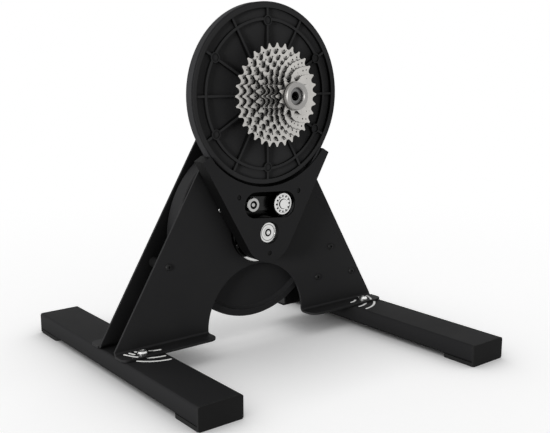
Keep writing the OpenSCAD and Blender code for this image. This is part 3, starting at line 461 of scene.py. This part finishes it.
FRAME_COAT = coated("frame_powder_coat", (0.013, 0.013, 0.0135), (0.0158, 0.0158, 0.0163), roughness=0.6,
                    wear=0.5, dust=0.0, corner_mm=60.0)
LEG_COAT = coated("leg_powder_coat", (0.009, 0.009, 0.0095), (0.0108, 0.0108, 0.0113), roughness=0.7,
                  wear=0.4, dust=0.0, corner_mm=40.0)
COVER_COAT = coated("cover_coat", (0.011, 0.011, 0.0115), (0.0135, 0.0135, 0.014), roughness=0.6,
                    wear=0.4, dust=0.0, wall_shade=0.1, wall_range=(0.97, 0.85))
PULLEY_MOULDING = coated("pulley_moulding", (0.0185, 0.0185, 0.019), (0.0215, 0.0215, 0.022), roughness=0.6,
                         wear=0.0, dust=0.0, grain=900.0, corner_mm=24.0, corner_range=(0.05, 0.6),
                         wall_shade=0.04)
FOOT_RUBBER = coated("foot_rubber", grey(0.008), grey(0.011), roughness=0.75,
                     wear=0.3, dust=0.1, grain=700.0, relief=0.5, worn=grey(0.03))
BELT_RUBBER = coated("belt_rubber", (0.018, 0.018, 0.019), (0.024, 0.024, 0.025), roughness=0.7,
                     wear=0.4, dust=0.0, grain=500.0, relief=0.6, worn=grey(0.06))
DARK_PLASTIC = coated("dark_plastic", grey(0.009), grey(0.012), roughness=0.6, wear=0.3, dust=0.0)
WHEEL_PAINT = coated("wheel_paint", (0.0095, 0.0095, 0.01), (0.0125, 0.0125, 0.013), roughness=0.55,
                     wear=0.4, dust=0.0, grain=600.0, relief=0.4)
BLACK_OXIDE = coated("black_oxide", grey(0.0095), grey(0.013), roughness=0.5,
                     wear=0.15, dust=0.0, grain=1800.0)
SHADED_STEEL = coated("shaded_steel", grey(0.003), grey(0.004), roughness=0.8, wear=0.0, dust=0.0)
MARK_PAINT = coated("mark_paint", (0.92, 0.92, 0.9), (0.96, 0.96, 0.95), roughness=0.5,
                    wear=0.2, dust=0.0, grain=900.0, relief=0.2, worn=grey(0.4))
SENSOR_SCREWS = oxide_with_painted_glint("flange_screw_oxide", grey(0.012), (0.26, 0.26, 0.255),
                                       head=SENSOR, head_radius=5 * MM)
SPROCKET_STEEL = plated_metal("sprocket_steel", (0.46, 0.45, 0.43), (0.56, 0.545, 0.52), roughness=0.36,
                              grain=700.0, cut_shade=0.07, corner_mm=4.2, corner_tone=grey(0.012))
ZINC_STEEL = plated_metal("zinc_steel", grey(0.68), (0.8, 0.8, 0.79), roughness=0.24)
HARD_STEEL = plated_metal("hard_steel", (0.32, 0.31, 0.3), (0.4, 0.39, 0.37), roughness=0.38)
LOCKRING_STEEL = turned_metal("lockring_steel", (0.28, 0.275, 0.265), (0.37, 0.36, 0.35), roughness=0.42,
                              centre=AXLE)
DARK_ALLOY = turned_metal("dark_alloy", grey(0.16), grey(0.22), roughness=0.42, centre=AXLE)
HUB_ALLOY = turned_metal("hub_alloy", grey(0.5), (0.66, 0.66, 0.65), roughness=0.33, centre=AXLE)
BALL_STEEL = turned_metal("ball_steel", grey(0.6), (0.76, 0.76, 0.75), roughness=0.12, centre=IDLER,
                          rings=4000.0, relief=0.02)
# Painted shade: the balls are near black, standing for the shade seen through the cage's holes
SHADED_BALL_STEEL = turned_metal("oiled_steel", grey(0.02), grey(0.035), roughness=0.3, centre=IDLER,
                           rings=4000.0, relief=0.02)
BEARING_STEEL = bearing_metal("bearing_steel", (0.6, 0.6, 0.59), (0.78, 0.78, 0.77), roughness=0.22,
                              centre=SHAFT, bands_mm=[(3.0, 5.4), (10.6, 11.3)], groove_tone=grey(0.02))
IDLER_STEEL = bearing_metal("idler_steel", (0.62, 0.62, 0.61), (0.8, 0.8, 0.79), roughness=0.18,
                            centre=IDLER, bands_mm=[(9.0, 12.6), (15.05, 20.0)], groove_tone=grey(0.006))
POST_STEEL = bearing_metal("post_steel", (0.36, 0.36, 0.355), (0.5, 0.5, 0.49), roughness=0.24,
                           centre=POST, bands_mm=[(2.75, 5.5)], groove_tone=grey(0.006))
ARM_FINISH = seated_metal("arm_finish", grey(0.026), (0.66, 0.66, 0.65),
                          seat_bands_mm=[(0.0, 6.2), (7.2, 9.1)], centre=IDLER)
FLANGE_ALLOY = painted_low_highlight("flange_alloy", grey(0.012), (0.62, 0.62, 0.61), centre=SHAFT,
                             highlight_below=FLANGE_HIGHLIGHT_BELOW)


def finish_nodes(material, *names):
    for name in names:
        slots = nodes[name].data.materials
        slots.clear()
        slots.append(material)


finish_nodes(FRAME_COAT, "front_plate", "rear_plate", "bearing_flange_rear", "brake_carrier")
finish_nodes(LEG_COAT, "leg_tube_left", "leg_tube_right")
finish_nodes(COVER_COAT, "belt_cover")
finish_nodes(PULLEY_MOULDING, "drive_pulley")
finish_nodes(FOOT_RUBBER, "leg_feet_left", "leg_feet_right")
finish_nodes(BELT_RUBBER, "drive_belt")
finish_nodes(DARK_PLASTIC, "speed_sensor", "sprocket_spacers")
finish_nodes(WHEEL_PAINT, "flywheel")
finish_nodes(SHADED_STEEL, "frame_spacers")
finish_nodes(BLACK_OXIDE, "frame_bolts", "frame_nuts", "hub_screws", "cover_standoffs", "cover_screws")
finish_nodes(SENSOR_SCREWS, "flange_screws")
finish_nodes(SPROCKET_STEEL, *[f"sprocket_{teeth}" for teeth in (32, 28, 24, 21, 18, 16, 14, 12, 11)])
finish_nodes(ZINC_STEEL, "pivot_bolts", "pivot_nuts", "leg_sleeve_left", "leg_sleeve_right", "brake_magnets")
finish_nodes(POST_STEEL, "tensioner_post")
finish_nodes(ARM_FINISH, "tensioner_arm")
finish_nodes(HARD_STEEL, "ratchet_ring", "freehub_pawls")
finish_nodes(LOCKRING_STEEL, "lockring")
finish_nodes(DARK_ALLOY, "axle_tube", "axle_end_cap")
finish_nodes(HUB_ALLOY, "axle_flange", "axle_spacer", "axle_nut", "axle_sleeves", "hub_shell", "freehub_body",
             "hub_bearing_outers", "hub_bearing_inners", "freehub_bearing_outers", "freehub_bearing_inners")
finish_nodes(BEARING_STEEL, "flywheel_shaft", "shaft_collars", "shaft_bearing_outers", "shaft_bearing_inners")
finish_nodes(IDLER_STEEL, "idler_roller")
finish_nodes(SHADED_BALL_STEEL, "idler_balls")
finish_nodes(FLANGE_ALLOY, "bearing_flange_front", "small_pulley")


# Rounded edges

def body_of(name):
    return nodes[name].parent.name.split(":")[1]


def is_sharp(edge, limit):
    """True for an edge between two faces that meet at more than the limit."""
    return edge.is_manifold and edge.calc_face_angle(0.0) > limit


def dressed(name, radius_mm, clamp=False):
    """Makes a joined copy of a CAD node with its sharp edges rounded, which stands for that node."""
    source = nodes[name]
    bpy.ops.object.select_all(action="DESELECT")
    piece = bpy.data.objects.new(f"{name}_finished", source.data.copy())
    bpy.context.scene.collection.objects.link(piece)
    piece.select_set(True)
    bpy.context.view_layer.objects.active = piece
    bpy.ops.mesh.customdata_custom_splitnormals_clear()
    bpy.ops.object.mode_set(mode="EDIT")
    bpy.ops.mesh.select_mode(type="EDGE")
    bpy.ops.mesh.select_all(action="SELECT")
    bpy.ops.mesh.remove_doubles(threshold=0.002 * MM)
    bpy.ops.mesh.dissolve_limited(angle_limit=math.radians(0.4))
    bpy.ops.mesh.select_all(action="DESELECT")
    mesh = bmesh.from_edit_mesh(piece.data)
    for edge in mesh.edges:
        edge.select_set(is_sharp(edge, SHARP_ANGLE))
    bmesh.update_edit_mesh(piece.data)
    bpy.ops.mesh.bevel(offset=radius_mm * MM, segments=2, affect="EDGES", clamp_overlap=clamp)
    bpy.ops.object.mode_set(mode="OBJECT")
    bpy.ops.object.shade_smooth_by_angle(angle=SHARP_ANGLE)
    even = piece.modifiers.new("even shading", "WEIGHTED_NORMAL")
    even.weight = 100
    even.keep_sharp = True
    bpy.ops.object.modifier_apply(modifier=even.name)
    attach(piece, body_of(name))
    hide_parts(name)


for plate in ("front_plate", "rear_plate"):
    dressed(plate, 0.4)
dressed("belt_cover", 0.45)
for tube in ("leg_tube_left", "leg_tube_right"):
    dressed(tube, 0.3)
for foot in ("leg_feet_left", "leg_feet_right"):
    dressed(foot, 0.3, clamp=True)


# Swivel marks: arcs of paint round each pivot bolt, on the flange and on the leg below it

MARK_WIDTH = 3.2 * MM
MARK_THICKNESS = 0.12 * MM

# Each mark's centre inward and back from the left pivot, its radius in millimetres, and its sweep in degrees
FLANGE_MARKS = (
    (26.5, 22.5, 47.2, 192.5, 220),
    (24.0, 18.8, 36.6, 189, 207),
    (26.5, 22.5, 32.0, 197, 206),
    (26.5, 22.5, 23.4, 229, 271),
)
LEG_MARKS = (
    (27.8, 21.3, 52.5, 217, 266),
    (24.0, 20.3, 36.6, 231, 271),
)


def arc_mark(name, centre, radius, start, end, z, body):
    """Makes a thin arc of paint with round ends: a square, its far edge spun on and the face raised."""
    bpy.ops.object.select_all(action="DESELECT")
    half_step = math.degrees(MARK_WIDTH / 2 / radius)
    turn = math.radians(start + half_step)
    ahead = Vector((-math.sin(turn), math.cos(turn), 0))
    spot = Vector((centre.x, centre.y, z)) + radius * Vector((math.cos(turn), math.sin(turn), 0))
    bpy.ops.mesh.primitive_plane_add(size=MARK_WIDTH, location=spot, rotation=(0, 0, turn))
    mark = bpy.context.object
    mark.name = name
    bpy.ops.object.transform_apply(location=True, rotation=True, scale=True)
    bpy.ops.object.mode_set(mode="EDIT")
    bpy.ops.mesh.select_mode(type="EDGE")
    bpy.ops.mesh.select_all(action="DESELECT")
    mesh = bmesh.from_edit_mesh(mark.data)
    for edge in mesh.edges:
        edge.select_set(all((corner.co - spot).dot(ahead) > 0 for corner in edge.verts))
    bmesh.update_edit_mesh(mark.data)
    sweep = end - start - 2 * half_step
    bpy.ops.mesh.spin(steps=max(4, int(sweep / 4)), angle=math.radians(sweep),
                      center=(centre.x, centre.y, z), axis=(0, 0, -1))
    bpy.ops.mesh.select_all(action="SELECT")
    bpy.ops.mesh.remove_doubles(threshold=0.01 * MM)
    bpy.ops.mesh.extrude_region_move(TRANSFORM_OT_translate={"value": (0, 0, MARK_THICKNESS)})
    bpy.ops.mesh.select_all(action="SELECT")
    bpy.ops.mesh.normals_make_consistent(inside=False)
    bpy.ops.mesh.select_all(action="DESELECT")
    mesh = bmesh.from_edit_mesh(mark.data)
    for edge in mesh.edges:
        upright = abs(edge.verts[0].co.z - edge.verts[1].co.z) > MARK_THICKNESS / 2
        edge.select_set(upright and is_sharp(edge, math.radians(60)))
    bmesh.update_edit_mesh(mark.data)
    bpy.ops.mesh.bevel(offset=0.45 * MARK_WIDTH, segments=4, affect="EDGES")
    bpy.ops.object.mode_set(mode="OBJECT")
    mark.data.materials.append(MARK_PAINT)
    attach(mark, body)


for side, way in (("left", 1), ("right", -1)):
    for kind, table, z, body in (("swivel", FLANGE_MARKS, FLANGE_TOP, "frame"),
                                 ("leg", LEG_MARKS, LEG_TOP, f"leg_{side}")):
        for i, (inward, back, radius, start, end) in enumerate(table):
            centre = Vector((way * (inward * MM - PIVOT_X), PIVOT_Y + back * MM, 0))
            if way < 0:
                # A mirrored angle is 180 degrees less the angle, here one turn further on
                start, end = 540 - end, 540 - start
            arc_mark(f"{kind}_mark_{side}_{i}", centre, radius * MM, start, end, z, body)


# Bearing cage: a thin ring with a round hole at each ball of the idler's bearing

CAGE_RADII_MM = (9.35, 12.35)
CAGE_T = 0.5 * MM
CAGE_DEPTH = 0.5 * MM
CAGE_HOLE_MM = 1.35
BALL_COUNT = 12
BALL_RING_MM = 10.8


# Sides of the cage's round edges and of its small holes
CAGE_SIDES = 64
HOLE_SIDES = 20


def cylinder_along_y(radius, depth, centre, sides):
    bpy.ops.object.select_all(action="DESELECT")
    bpy.ops.mesh.primitive_cylinder_add(vertices=sides, radius=radius, depth=depth, location=centre,
                                        rotation=(math.radians(90), 0, 0))
    bpy.ops.object.transform_apply(location=True, rotation=True, scale=True)
    return bpy.context.object


def cut_with(piece, cutter):
    hole = piece.modifiers.new("hole", "BOOLEAN")
    hole.operation = "DIFFERENCE"
    hole.solver = "EXACT"
    hole.object = cutter
    bpy.context.view_layer.objects.active = piece
    bpy.ops.object.modifier_apply(modifier=hole.name)
    bpy.data.objects.remove(cutter, do_unlink=True)


def make_idler_cage():
    middle = Vector((IDLER.x, idler_low.y + CAGE_DEPTH + CAGE_T / 2, IDLER.z))
    cage = cylinder_along_y(CAGE_RADII_MM[1] * MM, CAGE_T, middle, CAGE_SIDES)
    cage.name = "idler_cage"
    cut_with(cage, cylinder_along_y(CAGE_RADII_MM[0] * MM, 4 * CAGE_T, middle, CAGE_SIDES))
    for i in range(BALL_COUNT):
        turn = math.radians(i * 360 / BALL_COUNT)
        spot = middle + BALL_RING_MM * MM * Vector((math.cos(turn), 0, math.sin(turn)))
        cut_with(cage, cylinder_along_y(CAGE_HOLE_MM * MM, 4 * CAGE_T, spot, HOLE_SIDES))
    bpy.ops.object.shade_smooth_by_angle(angle=SHARP_ANGLE)
    cage.data.materials.append(BALL_STEEL)
    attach(cage, "idler")


make_idler_cage()


# Floor, light and camera

# Glow that lifts the floor to the photograph's white, and the reach of the shade round the feet
FLOOR_LIFT = 0.6
CONTACT_REACH = 0.24

# Distances from the middle between which the floor fades into the white background
FADE_FROM = 0.35
FADE_TO = 1.4
WORLD_LIGHT = 0.45


def make_floor():
    bpy.ops.object.select_all(action="DESELECT")
    bpy.ops.mesh.primitive_plane_add(size=14.0, location=(0, 0, 0))
    floor = bpy.context.object
    floor.name = "floor"
    material, tree, shader, vector = start_material("studio_floor", 0.0, 0.2)
    shader.inputs["Base Color"].default_value = (0.8, 0.8, 0.8, 1.0)
    shader.inputs["Roughness"].default_value = 0.9
    output = tree.nodes["Material Output"]
    white = tree.nodes.new("ShaderNodeEmission")
    white.inputs["Strength"].default_value = 1.0
    length = tree.nodes.new("ShaderNodeVectorMath")
    length.operation = "LENGTH"
    tree.links.new(vector, length.inputs[0])
    fade = tree.nodes.new("ShaderNodeMapRange")
    fade.interpolation_type = "SMOOTHSTEP"
    fade.inputs["From Min"].default_value = FADE_FROM
    fade.inputs["From Max"].default_value = FADE_TO
    tree.links.new(length.outputs["Value"], fade.inputs["Value"])
    path = tree.nodes.new("ShaderNodeLightPath")
    seen = math_node(tree, "MAXIMUM", path.outputs["Is Camera Ray"], path.outputs["Is Glossy Ray"])
    mix = tree.nodes.new("ShaderNodeMixShader")
    tree.links.new(math_node(tree, "MULTIPLY", seen, fade.outputs["Result"]), mix.inputs["Fac"])
    lift = tree.nodes.new("ShaderNodeEmission")
    contact = tree.nodes.new("ShaderNodeAmbientOcclusion")
    contact.samples = 16
    contact.inputs["Distance"].default_value = CONTACT_REACH
    soft_shadow = math_node(tree, "MULTIPLY", seen, math_node(tree, "POWER", contact.outputs["AO"], 1.5))
    tree.links.new(math_node(tree, "MULTIPLY", soft_shadow, FLOOR_LIFT), lift.inputs["Strength"])
    lifted = tree.nodes.new("ShaderNodeAddShader")
    tree.links.new(shader.outputs[0], lifted.inputs[0])
    tree.links.new(lift.outputs[0], lifted.inputs[1])
    tree.links.new(lifted.outputs[0], mix.inputs[1])
    tree.links.new(white.outputs[0], mix.inputs[2])
    tree.links.new(mix.outputs[0], output.inputs["Surface"])
    floor.data.materials.append(material)
    return floor


def make_world():
    world = bpy.data.worlds.new("studio")
    bpy.context.scene.world = world
    world.use_nodes = True
    tree = world.node_tree
    light = tree.nodes["Background"]
    light.inputs["Color"].default_value = (1, 1, 1, 1)
    light.inputs["Strength"].default_value = WORLD_LIGHT
    backdrop = tree.nodes.new("ShaderNodeBackground")
    backdrop.inputs["Color"].default_value = (1, 1, 1, 1)
    backdrop.inputs["Strength"].default_value = 1.0
    path = tree.nodes.new("ShaderNodeLightPath")
    mix = tree.nodes.new("ShaderNodeMixShader")
    seen = math_node(tree, "MAXIMUM", path.outputs["Is Camera Ray"], path.outputs["Is Glossy Ray"])
    seen = math_node(tree, "MAXIMUM", seen, path.outputs["Is Transmission Ray"])
    tree.links.new(seen, mix.inputs["Fac"])
    tree.links.new(light.outputs[0], mix.inputs[1])
    tree.links.new(backdrop.outputs[0], mix.inputs[2])
    tree.links.new(mix.outputs[0], tree.nodes["World Output"].inputs["Surface"])


def make_lamp(name, place, target, size, watts, passed_over=None):
    """A square lamp that aims at the target and sheds no light on the object it passes over."""
    data = bpy.data.lights.new(name, "AREA")
    data.shape = "SQUARE"
    data.size = size
    data.energy = watts
    lamp = bpy.data.objects.new(name, data)
    lamp.location = place
    lamp.rotation_mode = "QUATERNION"
    lamp.rotation_quaternion = (Vector(target) - Vector(place)).to_track_quat("-Z", "Y")
    bpy.context.scene.collection.objects.link(lamp)
    if passed_over:
        spared = bpy.data.collections.new(f"{name}_passes_over")
        spared.objects.link(passed_over)
        spared.collection_objects[0].light_linking.link_state = "EXCLUDE"
        lamp.light_linking.receiver_collection = spared


# The camera's place was solved from the photograph's edges, in metres in the frame's own axes
CAMERA_PLACE = Vector((-0.65564, -0.8602, 0.38643))
CAMERA_AIM = Vector((0.61015, 0.77068, -0.18378))
CAMERA_LENS = 52.38


def make_camera():
    data = bpy.data.cameras.new("camera")
    data.sensor_width = 36.0
    data.lens = CAMERA_LENS
    data.clip_start = 0.02
    data.clip_end = 60.0
    camera = bpy.data.objects.new("camera", data)
    camera.location = CAMERA_PLACE
    camera.rotation_mode = "QUATERNION"
    camera.rotation_quaternion = CAMERA_AIM.to_track_quat("-Z", "Y")
    bpy.context.scene.collection.objects.link(camera)
    bpy.context.scene.camera = camera


floor = make_floor()
make_world()
make_lamp("key_lamp", place=(-2.8, -0.95, 0.6), target=(0, 0, 0.22), size=0.6, watts=100, passed_over=floor)
make_camera()
bpy.context.scene.view_settings.view_transform = "Standard"
